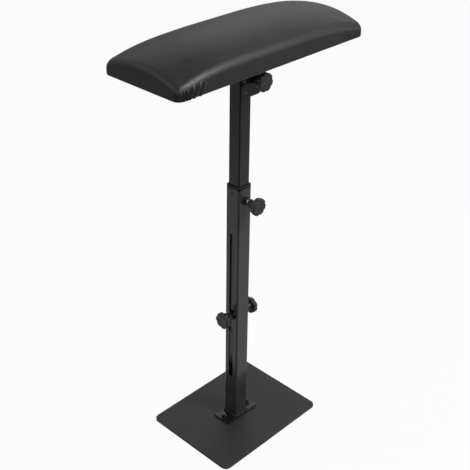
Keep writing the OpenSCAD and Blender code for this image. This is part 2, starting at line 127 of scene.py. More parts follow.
def placed(obj, matrix):
    obj.data.transform(matrix)
    return obj


def joined(name, parts):
    work = bmesh.new()
    for part in parts:
        work.from_mesh(part.data)
        bpy.data.objects.remove(part)
    mesh = bpy.data.meshes.new(name)
    work.to_mesh(mesh)
    work.free()
    shadedSmooth(mesh)
    return inScene(name, mesh)


def creased(obj, degrees):  # edges over this angle stay crisp, the rest shades smooth
    work = bmesh.new()
    work.from_mesh(obj.data)
    for edge in work.edges:
        edge.smooth = len(edge.link_faces) == 2 and edge.calc_face_angle(0) < radians(degrees)
    for face in work.faces:
        face.smooth = True
    work.to_mesh(obj.data)
    work.free()
    return obj


def baked(obj):  # every modifier's result becomes the mesh itself
    bpy.context.view_layer.update()
    seen = obj.evaluated_get(bpy.context.evaluated_depsgraph_get())
    mesh = bpy.data.meshes.new_from_object(seen)
    obj.modifiers.clear()
    obj.data = mesh
    return obj


def walled(obj, thickness, offset):
    wall = obj.modifiers.new("wall", "SOLIDIFY")
    wall.thickness = thickness
    wall.offset = offset
    return baked(obj)


def dressed(obj, body, slotName, material, *nodes):
    obj.data.materials.clear()
    obj.data.materials.append(material)
    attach(obj, body)
    if nodes:
        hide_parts(*nodes)
    return obj


# shader nodes


def plug(item, socket):  # item is another node's output, or a fixed value
    if isinstance(item, bpy.types.NodeSocket):
        socket.id_data.links.new(item, socket)
    else:
        socket.default_value = item


def shaderNode(tree, kind, **inputs):
    node = tree.nodes.new("ShaderNode" + kind)
    for label, item in inputs.items():
        plug(item, node.inputs[label.replace("_", " ")])
    return node


def stretched(source, scale):
    return shaderNode(source.id_data, "Mapping", Vector=source, Scale=scale).outputs["Vector"]


def noise(source, scale, detail=3.0, rough=0.5, warp=0.0):
    node = shaderNode(source.id_data, "TexNoise", Vector=source, Scale=scale)
    for label, value in (("Detail", detail), ("Roughness", rough), ("Distortion", warp)):
        node.inputs[label].default_value = value
    return node.outputs["Fac"]


def cells(source, scale, spread=1.0):
    node = shaderNode(source.id_data, "TexVoronoi", Vector=source, Scale=scale, Randomness=spread)
    return node.outputs["Distance"]


def remap(value, low, high, outLow, outHigh):
    node = shaderNode(value.id_data, "MapRange", Value=value, From_Min=low, From_Max=high)
    node.inputs["To Min"].default_value = outLow
    node.inputs["To Max"].default_value = outHigh
    return node.outputs["Result"]


def reckon(operation, a, b):  # a is another node's output
    node = shaderNode(a.id_data, "Math")
    node.operation = operation
    plug(a, node.inputs[0])
    plug(b, node.inputs[1])
    return node.outputs["Value"]


def mixed(share, first, second):  # two shaders
    node = shaderNode(first.id_data, "MixShader")
    for socket, item in zip(node.inputs, (share, first, second)):
        plug(item, socket)
    return node.outputs[0]


def tint(factor, stops):
    node = shaderNode(factor.id_data, "ValToRGB", Fac=factor)
    ramp = node.color_ramp
    while len(ramp.elements) < len(stops):
        ramp.elements.new(0.5)
    for element, (place, colour) in zip(ramp.elements, stops):
        element.position = place
        element.color = (*colour, 1)
    return node.outputs["Color"]


# materials, with lengths in metres and marks per metre


def newMaterial(name, colour, roughness, metallic=0.0, specular=0.5):
    material = bpy.data.materials.new(name)
    material.use_nodes = True
    tree = material.node_tree
    shader = tree.nodes["Principled BSDF"]
    shader.inputs["Base Color"].default_value = (*colour, 1)
    shader.inputs["Roughness"].default_value = roughness
    shader.inputs["Metallic"].default_value = metallic
    shader.inputs["Specular IOR Level"].default_value = specular
    return material, shader, shaderNode(tree, "TexCoord").outputs["Object"]


def coloured(shader, factor, *stops):
    plug(tint(factor, stops), shader.inputs["Base Color"])


def roughened(shader, factor, low, high, outLow, outHigh):
    plug(remap(factor, low, high, outLow, outHigh), shader.inputs["Roughness"])


def relief(shader, height, distance, strength):
    node = shaderNode(shader.id_data, "Bump", Height=height, Distance=distance, Strength=strength)
    plug(node.outputs["Normal"], shader.inputs["Normal"])


def powderCoat(name, shade, lowRough, highRough, texture):
    material, shader, place = newMaterial(name, (shade, shade, shade * 1.03), (lowRough + highRough) / 2)
    cloud = noise(place, 22, detail=4)
    dark = (shade * 0.82, shade * 0.82, shade * 0.86)
    light = (shade * 1.17, shade * 1.17, shade * 1.2)
    coloured(shader, cloud, (0.3, dark), (0.7, light))
    speck = noise(place, 520, detail=2, rough=0.6)
    roughened(shader, reckon("ADD", speck, cloud), 0.6, 1.4, lowRough, highRough)
    peel = noise(place, 760, detail=2, rough=0.4, warp=0.3)
    waves = reckon("MULTIPLY", noise(place, 160, detail=2), 0.6)
    relief(shader, reckon("ADD", peel, waves), texture, 0.55)
    return material


def imitationLeather():
    material, shader, place = newMaterial("blackImitationLeather", (0.0125, 0.0125, 0.013), 0.42)
    patch = noise(place, 14, detail=4)
    tree = shader.id_data
    crease = shaderNode(tree, "Attribute")  # painted shade: the pleats' folds are darkened in the colour, where they lie in shade
    crease.attribute_name = "crease"
    skin = tint(patch, [(0.32, (0.0103, 0.0103, 0.0108)), (0.68, (0.0148, 0.0148, 0.0154))])
    paintedFoldShadeMix = shaderNode(tree, "Mix")
    paintedFoldShadeMix.data_type = "RGBA"
    # near-black colour painted into the folds as shade
    paintedFoldShadeMix.inputs["B"].default_value = (0.0012, 0.0012, 0.0013, 1)
    plug(crease.outputs["Fac"], paintedFoldShadeMix.inputs["Factor"])
    plug(skin, paintedFoldShadeMix.inputs["A"])
    plug(paintedFoldShadeMix.outputs["Result"], shader.inputs["Base Color"])
    grain = cells(stretched(place, (1, 1.15, 1)), 900)
    pores = reckon("MULTIPLY", cells(place, 1700), 0.35)
    wrinkles = reckon("MULTIPLY", noise(place, 260, detail=3, rough=0.55, warp=0.4), 0.7)
    roughened(shader, reckon("ADD", patch, grain), 0.4, 1.5, 0.37, 0.5)
    surface = reckon("ADD", reckon("ADD", grain, pores), wrinkles)
    relief(shader, surface, 0.00012, 0.5)
    return material


def knobPlastic():
    material, shader, place = newMaterial("mouldedKnobPlastic", (0.018, 0.018, 0.0187), 0.36)
    flow = noise(place, 90, detail=3, warp=0.8)
    coloured(shader, flow, (0.3, (0.0145, 0.0145, 0.0152)), (0.7, (0.022, 0.022, 0.0228)))
    roughened(shader, flow, 0.25, 0.75, 0.33, 0.46)
    relief(shader, noise(place, 1500, detail=2), 0.00004, 0.5)
    return material


def blackNylon():
    material, shader, place = newMaterial("blackNylon", (0.005, 0.005, 0.0051), 0.45, specular=0.32)
    haze = noise(place, 60)
    coloured(shader, haze, (0.3, (0.004, 0.004, 0.0041)), (0.7, (0.0062, 0.0062, 0.0064)))
    roughened(shader, haze, 0.2, 0.8, 0.38, 0.52)
    relief(shader, noise(place, 1100, detail=2), 0.00005, 0.5)
    return material


def zinc(name, dark, light, lowRough, highRough):
    material, shader, place = newMaterial(name, light, lowRough, metallic=1.0)
    bloom = noise(place, 180, detail=4, rough=0.6, warp=0.5)
    coloured(shader, bloom, (0.3, dark), (0.65, light))
    roughened(shader, bloom, 0.25, 0.75, highRough, lowRough)
    relief(shader, noise(place, 2600, detail=2), 0.00002, 0.4)
    return material


def turnedBrass():
    material, shader, place = newMaterial("turnedBrass", (0.72, 0.56, 0.27), 0.28, metallic=1.0)
    tarnish = noise(place, 120, detail=4, rough=0.6)
    coloured(shader, tarnish, (0.3, (0.5, 0.36, 0.15)), (0.6, (0.74, 0.58, 0.29)))
    roughened(shader, tarnish, 0.3, 0.7, 0.42, 0.22)
    relief(shader, noise(stretched(place, (2500, 2500, 2500)), 1.0, detail=1), 0.00002, 0.4)
    return material


def redFibre():
    material, shader, place = newMaterial("vulcanisedFibre", (0.3, 0.09, 0.06), 0.6)
    threads = noise(stretched(place, (300, 1600, 300)), 1.0, detail=4, rough=0.6)
    coloured(shader, threads, (0.3, (0.2, 0.055, 0.035)), (0.7, (0.34, 0.11, 0.07)))
    roughened(shader, threads, 0.3, 0.7, 0.52, 0.72)
    relief(shader, threads, 0.00004, 0.5)
    return material


def openFoam():
    material, shader, place = newMaterial("upholsteryFoam", (0.78, 0.72, 0.5), 0.9)
    bubble = cells(place, 900)
    # painted shade: the colour is darker in the pore hollows that the relief sinks
    coloured(shader, bubble, (0.1, (0.6, 0.53, 0.33)), (0.6, (0.82, 0.76, 0.55)))
    roughened(shader, noise(place, 40), 0.3, 0.7, 0.85, 0.98)
    relief(shader, bubble, 0.0006, 0.9)
    return material


def birchPly():
    material, shader, place = newMaterial("rawPlywood", (0.6, 0.43, 0.25), 0.62)
    figure = noise(stretched(place, (9, 120, 60)), 1.0, detail=5, rough=0.6, warp=1.2)
    layers = shaderNode(shader.id_data, "TexWave", Vector=place, Scale=112, Distortion=0.3)
    layers.bands_direction = "Z"
    lines = reckon("MULTIPLY", layers.outputs["Fac"], 0.28)
    shade = reckon("ADD", reckon("MULTIPLY", figure, 0.75), lines)
    coloured(shader, shade, (0.25, (0.42, 0.27, 0.13)), (0.75, (0.66, 0.49, 0.3)))
    roughened(shader, figure, 0.3, 0.7, 0.55, 0.72)
    relief(shader, shade, 0.0001, 0.6)
    return material


def liningCloth():
    material, shader, place = newMaterial("blackLiningCloth", (0.045, 0.045, 0.047), 0.92)
    fluff = noise(stretched(place, (700, 700, 700)), 1.0, detail=5, rough=0.7, warp=1.5)
    dots = cells(stretched(place, (1, 1, 0.01)), 620, spread=0.0)
    coloured(shader, fluff, (0.3, (0.03, 0.03, 0.032)), (0.7, (0.06, 0.06, 0.062)))
    roughened(shader, dots, 0.1, 0.6, 0.82, 0.96)
    relief(shader, reckon("ADD", fluff, dots), 0.00018, 0.7)
    return material


# colour level, lowest and highest roughness, depth of the texture
coat = powderCoat("blackPowderCoat", 0.012, 0.12, 0.22, 0.00002)
# painted light: the outer tube's copy of the black coat is made lighter, standing in for how it is lit beside
# the shaded inner tube
paintedLightPostCoat = powderCoat("paintedLightBlackPowderCoat", 0.03, 0.1, 0.2, 0.00002)
glossCoat = powderCoat("glossyPowderCoat", 0.009, 0.08, 0.15, 0.00003)
mattCoat = powderCoat("texturedPowderCoat", 0.021, 0.44, 0.58, 0.00009)
leather = imitationLeather()
plastic = knobPlastic()
nylon = blackNylon()
brightZinc = zinc("brightZinc", (0.5, 0.51, 0.54), (0.7, 0.71, 0.73), 0.24, 0.36)
blackZinc = zinc("blackZinc", (0.04, 0.04, 0.044), (0.12, 0.12, 0.125), 0.08, 0.18)
brass = turnedBrass()
fibre = redFibre()
foam = openFoam()
ply = birchPly()
lining = liningCloth()
print("materials ready")

# cushion

cushion = {
    "halfLength": 0.205,
    "halfWidth": 0.080,
    "corner": 0.012,
    "underside": 0.724,
    "crown": 0.053,        # height of the whole cushion at its middle
    "endDrop": 0.0193,     # how far the crown falls towards the ends
    "endPower": 3.53,
    "sideDrop": 0.01927,   # and towards the long sides
    "sidePower": 1.935,
    "join": 1.132,
    "shoulder": 0.010,     # radius where the top turns down into the side
    "roll": 0.0016,        # radius where the cover turns under
    "fold": 0.022,         # width of the cover folded under the board
    "foldRows": [0.004, 0.008, 0.014],
    "sideRows": 31,
    "skin": 0.0009,
    # rows from the middle to the edge: from, to (as shares of the half size), count
    "along": [(0, 0.70, 30), (0.70, 0.735, 6), (0.735, 0.951, 84), (0.951, 1, 16)],
    "across": [(0, 0.78, 14), (0.78, 0.875, 7), (0.875, 1, 16)],
    "highest": 0.001,      # how far the swelling may lift the crown
}


def cushionPoint(u, v, inset):
    halfX, halfY, corner = cushion["halfLength"], cushion["halfWidth"], cushion["corner"]
    centreX, centreY = halfX - corner, halfY - corner
    r = np.maximum(np.maximum(np.abs(u), np.abs(v)), 1e-9)
    edgeX, edgeY = np.abs(u) / r * halfX, np.abs(v) / r * halfY
    aroundX, aroundY = np.clip(edgeX - centreX, 0, None), np.clip(edgeY - centreY, 0, None)
    around = np.maximum(np.hypot(aroundX, aroundY), 1e-9)
    reach = corner - inset
    x = np.sign(u) * r * (np.minimum(edgeX, centreX) + aroundX / around * reach)
    y = np.sign(v) * r * (np.minimum(edgeY, centreY) + aroundY / around * reach)
    end = (cushion["endDrop"] * np.clip(np.abs(x) / halfX, 0, 1) ** cushion["endPower"]) ** cushion["join"]
    side = (cushion["sideDrop"] * np.clip(np.abs(y) / halfY, 0, 1) ** cushion["sidePower"]) ** cushion["join"]
    crown = cushion["crown"] - inset - (end + side) ** (1 / cushion["join"])
    pastX, pastY = np.abs(x) - centreX, np.abs(y) - centreY
    inCorner = reach - np.hypot(np.clip(pastX, 0, None), np.clip(pastY, 0, None))
    inward = inCorner - np.clip(np.maximum(pastX, pastY), None, 0)
    shoulder = cushion["shoulder"] - inset
    turn = np.clip(1 - inward / shoulder, 0, 1)
    z = cushion["underside"] + crown - shoulder * (1 - np.sqrt(1 - turn ** 2))
    return x, y, z


def steps(stops):  # (from, to, count) for each stretch, the last one closer and closer over the shoulder
    line = [np.linspace(a, b, n, endpoint=False) for a, b, n in stops[:-1]]
    a, b, n = stops[-1]
    line.append(b - (b - a) * (1 - np.cos(np.linspace(pi / 2, 0, n, endpoint=False))))
    half = np.concatenate(line + [np.array([b])])
    return np.concatenate([-half[::-1], half[1:]])


def cushionRows(along, across, inset=0.0):  # the top and shoulder, and the rim that ends them
    us, vs = steps(along), steps(across)
    cols, last, top = len(vs), len(us) - 1, len(vs) - 1
    grid = np.stack(cushionPoint(*np.meshgrid(us, vs, indexing="ij"), inset), axis=-1)
    faces = [(a, d, c, b) for a, b, c, d in gridFaces(len(us), cols, False)]
    rim = [(i, 0) for i in range(last)] + [(last, j) for j in range(top)]
    rim += [(i, top) for i in range(last, 0, -1)] + [(0, j) for j in range(top, 0, -1)]
    return [tuple(p) for p in grid.reshape(-1, 3)], faces, [i * cols + j for i, j in rim]


def underRows():  # (inset, height over the underside, share of the way up the side), down to the fold
    roll = cushion["roll"]
    rows = [(0.0, roll, share) for share in np.linspace(1, 0, cushion["sideRows"] + 1)[1:]]
    rows += [(roll * (1 - cos(a)), roll * (1 - sin(a)), 0.0) for a in quarterTurn(5)[1:]]
    return rows + [(inset, 0.0, 0.0) for inset in (*cushion["foldRows"], cushion["fold"])]


def sideFaces(upper, lower):
    count = len(upper)
    return [(lower[j], lower[(j + 1) % count], upper[(j + 1) % count], upper[j]) for j in range(count)]


def coverMesh(along, across):
    verts, faces, rim = cushionRows(along, across)
    edge = np.array([verts[i] for i in rim])
    fold = cushion["fold"]
    centreX, centreY = cushion["halfLength"] - fold, cushion["halfWidth"] - fold
    ringBefore = rim
    for inset, height, share in underRows():
        ring = list(range(len(verts), len(verts) + len(rim)))
        low = cushion["underside"] + height
        for p in edge:
            inX = copysign(inset * (max(abs(p[0]) - centreX, 0) / fold), p[0])
            inY = copysign(inset * (max(abs(p[1]) - centreY, 0) / fold), p[1])
            verts.append((p[0] - inX, p[1] - inY, low + share * (p[2] - low)))
        faces += sideFaces(ringBefore, ring)
        ringBefore = ring
    return verts, faces, ringBefore


swelling = {
    "slack": 0.0018,       # how much smaller the closed copy starts than the cover
    "slackBack": 0.15,     # share of the slack that the swelling gives back
    "heldTo": 0.011,       # height to which the board's edge holds the cover
    "freeOver": 0.012,
    "voxel": 0.005,
    "cap": 0.0028,
    "frames": 20,
    "along": [(0, 0.951, 54), (0.951, 1, 10)],
    "across": [(0, 0.875, 20), (0.875, 1, 10)],
    "neighbours": 10,      # points of the copy that move one point of the cover
    "blend": 0.006,
    "cloth": {
        "quality": 6,
        "mass": 0.4,
        "tension_stiffness": 25,
        "compression_stiffness": 25,
        "shear_stiffness": 12,
        "bending_stiffness": 1.5,
        "use_pressure": True,
        "uniform_pressure_force": 6.0,
    },
}


def freeShare(height):  # 0 where the board's edge holds the cover, 1 where the foam moves it
    return np.clip((height - swelling["heldTo"]) / swelling["freeOver"], 0, 1)


def slimmer(points, slack):  # drawn in above the board, where the foam pushes it out again
    height = points[:, 2] - cushion["underside"]
    free = freeShare(height)
    shaped = points.copy()
    shaped[:, 0] -= slack * free * points[:, 0] / cushion["halfLength"]
    shaped[:, 1] -= slack * free * points[:, 1] / cushion["halfWidth"]
    shaped[:, 2] -= slack * free * height / cushion["crown"]
    return shaped


def swellingCopy():
    verts, faces, rim = coverMesh(swelling["along"], swelling["across"])
    body = outward(newMesh("swell", slimmer(np.array(verts), swelling["slack"]), faces + [tuple(rim)]))
    remesh = body.modifiers.new("even", "REMESH")
    remesh.mode = "VOXEL"
    remesh.voxel_size = swelling["voxel"]
    remesh.use_smooth_shade = True
    return baked(body)


def blownUp(body, start):  # the copy's points after the foam's pressure has pushed them out
    pin = body.vertex_groups.new(name="held")
    for k, grip in enumerate(1.0 - freeShare(start[:, 2] - cushion["underside"])):
        if grip > 0:
            pin.add([k], grip, "REPLACE")
    cloth = body.modifiers.new("cloth", "CLOTH")
    for label, value in swelling["cloth"].items():
        setattr(cloth.settings, label, value)
    cloth.settings.vertex_group_mass = "held"
    cloth.settings.effector_weights.gravity = 0
    cloth.collision_settings.use_collision = False
    cloth.point_cache.frame_start, cloth.point_cache.frame_end = 1, swelling["frames"]
    for number in range(1, swelling["frames"] + 1):
        scene.frame_set(number)
    seen = body.evaluated_get(bpy.context.evaluated_depsgraph_get())
    end = np.array([v.co[:] for v in seen.data.vertices])
    scene.frame_set(1)
    return end


def swellCover(points):
    body = swellingCopy()
    start = np.array([v.co[:] for v in body.data.vertices])
    move = blownUp(body, start) - start
    bpy.data.objects.remove(body)
    length = np.linalg.norm(move, axis=1, keepdims=True)
    move *= np.minimum(1, swelling["cap"] / np.maximum(length, 1e-9))
    most, mean = float(length.max()) * 1000, float(length.mean()) * 1000
    print("cover swelled: most", round(most, 2), "mm, mean", round(mean, 2), "mm")
    tree = kdtree.KDTree(len(start))
    for k, p in enumerate(start):
        tree.insert(Vector(p), k)
    tree.balance()
    shifted = points.copy()
    for k, p in enumerate(points):
        total, share = np.zeros(3), 0.0
        for _, index, distance in tree.find_n(Vector(p), swelling["neighbours"]):
            weight = exp(-(distance / swelling["blend"]) ** 2)
            total += weight * move[index]
            share += weight
        if share > 0:
            shifted[k] += total / share
    return shifted


pleats = {
    "crests": [  # where each fold starts and ends along the side, and its weight
        (-0.1840, -0.1756, 1.0),
        (-0.1760, -0.1630, 1.0),
        (-0.1640, -0.1516, 0.85),
        (-0.1882, -0.1878, 0.7),
        (-0.1936, -0.1933, 0.6),
    ],
    "from": -0.197,         # the folds lie between these two places, with soft ends
    "fromOver": 0.003,
    "to": -0.1495,
    "toOver": 0.004,
    "smoothCorner": 0.35,   # share left at the front right corner, where the cover lies flatter
    "high": 0.017,
    "highest": 0.021,
    "sideShare": 0.9,       # the side begins at this share of the half width
    "steepSide": 0.0009,    # width of the flank that faces the corner
    "longSide": 0.0021,     # and of the one that runs out along the side
    "height": 0.0025,
    "groove": 0.0009,       # depth of the crease before each fold
    "deepest": 0.0008,
    "creaseBefore": 0.00207,
    "creaseWidth": 0.00099,
    # place and width of the painted shade before each fold, which darkens the leather's colour there
    "shadeBefore": 0.00252,
    "shadeWidth": 0.0018,
}


def bell(distance, width):
    return np.exp(-(distance / width) ** 2)


def pleated(points):
    shaped = points.copy()
    x, y, z = points[:, 0], points[:, 1], points[:, 2] - cushion["underside"]
    onSide = (np.abs(y) > cushion["halfWidth"] * pleats["sideShare"]) & (z < pleats["highest"])
    along = -np.abs(x)  # all four corners fold alike
    push, shade = np.zeros(len(points)), np.zeros(len(points))
    for low, high, weight in pleats["crests"]:
        d = along - low - (high - low) * np.clip(z / pleats["high"], 0, 1.2)
        ridge = bell(d, np.where(d < 0, pleats["steepSide"], pleats["longSide"]))
        crease = bell(d + pleats["creaseBefore"], pleats["creaseWidth"])
        push += weight * (pleats["height"] * ridge - pleats["groove"] * crease)
        # painted shade: the flank before each fold is marked for a darker colour, where it lies in shade
        shade += weight * bell(d + pleats["shadeBefore"], pleats["shadeWidth"])
    fadeUp = np.clip((pleats["high"] + 0.003 - z) / 0.006, 0, 1)
    fadeDown = np.clip((z + 0.0004) / 0.0012, 0.35, 1)
    fadeTo = np.clip((pleats["to"] - along) / pleats["toOver"], 0, 1)
    fadeFrom = np.clip((along - pleats["from"]) / pleats["fromOver"], 0, 1)
    cornerShare = np.where((x > 0) & (y < 0), pleats["smoothCorner"], 1.0)
    share = np.where(onSide, fadeUp * fadeDown * fadeTo * fadeFrom * cornerShare, 0)
    shaped[:, 1] += np.sign(y) * np.maximum(push, -pleats["deepest"]) * share
    return shaped, np.clip(shade * share, 0, 1)


def cushionCover():
    verts, faces, _ = coverMesh(cushion["along"], cushion["across"])
    points = np.array(verts)
    points = swellCover(slimmer(points, swelling["slack"] * swelling["slackBack"]))
    points[:, 2] = np.minimum(points[:, 2], cushion["underside"] + cushion["crown"] + cushion["highest"])
    points, paintedFoldShade = pleated(points)
    cover = newMesh("coverSkin", points, faces)
    # the painted fold shade is stored as the crease attribute, which darkens the leather's colour
    cover.data.attributes.new("crease", "FLOAT", "POINT").data.foreach_set("value", paintedFoldShade)
    return walled(cover, cushion["skin"], -1)


coverSkin = dressed(cushionCover(), "head", "leatherette", leather, "pad_cover")
print("cushion cover:", len(coverSkin.data.polygons), "faces")

filling = {
    "inset": 0.0022,       # from the cover's outside
    "drop": 0.0012,
    "lift": 0.0002,        # off the board
    "along": [(0, 0.95, 40), (0.95, 1, 8)],
    "across": [(0, 0.9, 18), (0.9, 1, 8)],
}


def foamMesh():
    verts, faces, rim = cushionRows(filling["along"], filling["across"], filling["inset"])
    verts = [(x, y, z - filling["drop"]) for x, y, z in verts]
    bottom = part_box("pad_foam")[0][2] + filling["lift"]
    low = list(range(len(verts), len(verts) + len(rim)))
    verts += [(verts[i][0], verts[i][1], bottom) for i in rim] + [(0.0, 0.0, bottom)]
    base = [(len(verts) - 1, low[j], low[(j + 1) % len(low)]) for j in range(len(low))]
    return outward(newMesh("foamBlock", verts, faces + sideFaces(rim, low) + base))


foamBlock = dressed(foamMesh(), "head", "foam", foam, "pad_foam")

backing = {
    "length": 0.366,
    "width": 0.116,
    "thick": 0.0003,
    "lift": 0.0001,
    "wave": 0.00008,
    "rows": (92, 30),
}


def backingMesh():
    rows, cols = backing["rows"]
    x, y = np.meshgrid(np.linspace(-0.5, 0.5, rows), np.linspace(-0.5, 0.5, cols), indexing="ij")
    wave = np.abs(backing["wave"] * np.sin(x * 40 + 3 * np.sin(y * 9)) * np.cos(y * 22))
    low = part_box("backing_cloth")[0][2] + backing["lift"]
    verts = np.stack([x * backing["length"], y * backing["width"], low + wave], axis=-1).reshape(-1, 3)
    return outward(walled(newMesh("backingSheet", verts, gridFaces(rows, cols, False)), backing["thick"], 1))


backingSheet = dressed(backingMesh(), "head", "lining_cloth", lining, "backing_cloth")
print("foam and backing cloth laid")

# knobs

knob = {
    "lobes": 7,
    "sidesPerLobe": 24,
    "radius": 0.0155,
    "scoop": 0.00465,      # radius of each hollow between two lobes
    "scoopCentre": 0.01866,
    "blend": 0.0009,       # softness where lobe meets hollow
    "hubRadius": 0.0075,
    "hubLength": 0.014,
    "headDepth": 0.009,
    "boreRadius": 0.00542,
    "boreDepth": 0.0131,
    "frontEase": 0.0021,
    "backEase": 0.0014,
    "draft": 0.0001,
    # radius and depth of the face's dished middle
    "dish": [(0.0012, 0.0003), (0.0055, 0.0003), (0.0064, 0.0002), (0.0071, 0.0001), (0.0078, 0)],
    "faceInsets": [0.0045, 0.0032],
    "faceFall": 0.0001,    # how far the face falls towards the lobes' edge
    "faceReach": 0.0055,   # and the inset at which that begins
    "hubFillet": 0.0015,
}

knobPlaces = [  # name, body, node, hub face, which way the knob points
    ("heightKnob", "height_grip", "height_knob", (0, -0.026, 0.472), (0, -1, 0)),
    ("leftKnob", "left_grip", "left_knob", (-0.01665, 0, 0.236), (-1, 0, 0)),
    ("rightKnob", "right_grip", "right_knob", (0.01665, 0, 0.236), (1, 0, 0)),
    ("tiltKnob", "tilt_grip", "tilt_knob", (0, -0.0326, 0.692), (0, -1, 0)),
]


def lobedRadius(angle):
    step = 2 * pi / knob["lobes"]
    off = (angle + step / 2) % step - step / 2  # 0 at the middle of a hollow
    across = knob["scoopCentre"] * sin(off)
    if abs(across) >= knob["scoop"]:
        return knob["radius"]
    reach = knob["scoopCentre"] * cos(off) - sqrt(knob["scoop"] ** 2 - across ** 2)
    blend = knob["blend"]
    near = max(blend - abs(reach - knob["radius"]), 0) / blend
    return min(reach, knob["radius"]) - near * near * blend * 0.25


def knobRows():  # lobed or round, inset or radius, height over the hub's end
    front, back = knob["hubLength"] + knob["headDepth"], knob["hubLength"]
    ease, backEase, draft, fillet = knob["frontEase"], knob["backEase"], knob["draft"], knob["hubFillet"]
    hub, bore, deep = knob["hubRadius"], knob["boreRadius"], knob["boreDepth"]
    rows = [(False, radius, front - depth) for radius, depth in knob["dish"]]
    for inset in knob["faceInsets"]:
        rows.append((True, inset, front - knob["faceFall"] * (1 - inset / knob["faceReach"])))
    for a in quarterTurn(6):
        rows.append((True, ease * (1 - sin(a)), front - 0.0002 - ease * (1 - cos(a))))
    rows += [(True, 0.0, back + 0.0036), (True, draft, back + 0.0018)]
    for a in np.radians([15, 40, 65, 90]):
        rows.append((True, draft + backEase * (1 - cos(a)), back + backEase * (1 - sin(a))))
    rows += [(True, 0.0032, back), (False, 0.0094, back)]
    for a in quarterTurn(4):
        rows.append((False, hub + fillet * (1 - sin(a)), back - fillet * (1 - cos(a))))
    rows += [(False, hub - 0.0001, 0.0009), (False, hub - 0.0003, 0.0003), (False, hub - 0.0008, 0.0)]
    rows += [(False, bore + 0.0003, 0.0), (False, bore, 0.0003), (False, bore, deep), (False, 0.001, deep)]
    return rows


def knobMesh(name):
    rings = []
    for lobed, size, height in knobRows():
        outline = (lambda angle: lobedRadius(angle) - size) if lobed else size
        rings.append(ringOf(outline, height, knob["lobes"] * knob["sidesPerLobe"]))
    return creased(ringStack(name, rings), 50)


def standing(origin, outwardAxis, across):  # local Z to the outward axis, local X to the across axis
    w, u = Vector(outwardAxis).normalized(), Vector(across).normalized()
    return Matrix.Translation(origin) @ Matrix((u, w.cross(u), w)).transposed().to_4x4()


for name, body, node, origin, axis in knobPlaces:
    low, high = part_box(node)
    if axis[1]:
        hollow = (0, 0, 1 if high[2] - origin[2] < origin[2] - low[2] else -1)
    else:
        hollow = (0, 1 if high[1] < -low[1] else -1, 0)
    piece = placed(knobMesh(name), standing(origin, axis, hollow))
    dressed(piece, body, "knob_plastic", plastic, node)
print("knobs:", len(knobPlaces))

# threads, nuts and washers


def threadedRings(radius, pitch, depth, start, end, chamferStart, rowsPerTurn=10):
    rows = max(int((end - start) / pitch * rowsPerTurn), 4)
    tip = radius - depth * 1.1
    rings = []
    for i in range(rows + 1):
        h = start + (end - start) * i / rows
        most = min(radius, tip + (h - start)) if chamferStart else min(radius, tip + (end - h))

        def outline(angle):
            phase = ((h - start) / pitch - angle / (2 * pi)) % 1.0
            flank = min(max(1.55 * (1 - abs(2 * phase - 1)) - 0.25, 0), 1)
            return min(radius - depth * flank, most)

        rings.append(ringOf(outline, h))
    return rings


def hexRadius(flats, angle):
    return flats / 2 / cos((angle + pi / 6) % (pi / 3) - pi / 6)


nut = {
    "sides": 96,
    "faceShare": 0.985,     # radius of the round end face against half the width over flats
    "chamferSlope": 0.577,
    "chamferRows": [0.0, 0.12, 0.28, 0.5, 0.75, 1.0],
    "boreEase": 0.0004,
}


def hexNut(name, flats, height, bore):
    face = flats / 2 * nut["faceShare"]
    tip = (flats / sqrt(3) - face) * 0.58
    rows = [(tip * share, face + tip * share / nut["chamferSlope"]) for share in nut["chamferRows"]]
    rows += [(height - h, limit) for h, limit in reversed(rows)]
    ease, sides = nut["boreEase"], nut["sides"]
    rings = [ringOf(bore + ease, 0.0, sides)]
    rings += [ringOf(lambda angle: min(hexRadius(flats, angle), limit), h, sides) for h, limit in rows]
    rings += [ringOf(r, h, sides) for r, h in ((bore + ease, height), (bore, height - ease), (bore, ease))]
    return creased(ringLoop(name, rings), 28)


heightStud = {
    "centre": (0, 0, 0.472),
    "radius": 0.00395,
    "pitch": 0.00125,
    "depth": 0.00075,
    "threadEnd": 0.0258,
    "anchorStart": 0.02601,  # the knurled end that is moulded into the knob
    "anchorRadius": 0.00538,
}


def studMesh():
    thread = [heightStud[label] for label in ("radius", "pitch", "depth")]
    anchorRadius, anchorStart = heightStud["anchorRadius"], heightStud["anchorStart"]
    low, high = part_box("height_stud")
    tip, head = -high[1], -low[1]  # outward distances along -Y
    rings = threadedRings(*thread, tip, heightStud["threadEnd"], True)
    anchor = [(0.0040, anchorStart), (0.0050, anchorStart + 0.00001), (anchorRadius, 0.0263)]
    anchor += [(anchorRadius, head - 0.0003), (0.0050, head)]
    rings += [ringOf(r, h) for r, h in anchor]
    stud = creased(ringStack("heightStud", rings), 60)
    return placed(stud, standing(heightStud["centre"], (0, -1, 0), (0, 0, 1)))


dressed(studMesh(), "height_screw", "bright_zinc", brightZinc, "height_stud")

clampNut = {"flats": 0.013, "height": 0.0065, "bore": 0.00405, "seat": (0, -0.015, 0.472)}
clampNutPiece = hexNut("clampNut", clampNut["flats"], clampNut["height"], clampNut["bore"])
placed(clampNutPiece, standing(clampNut["seat"], (0, -1, 0), (0, 0, 1)))
dressed(clampNutPiece, "stand", "black_coat", coat, "clamp_nut")

# Geometry Nodes


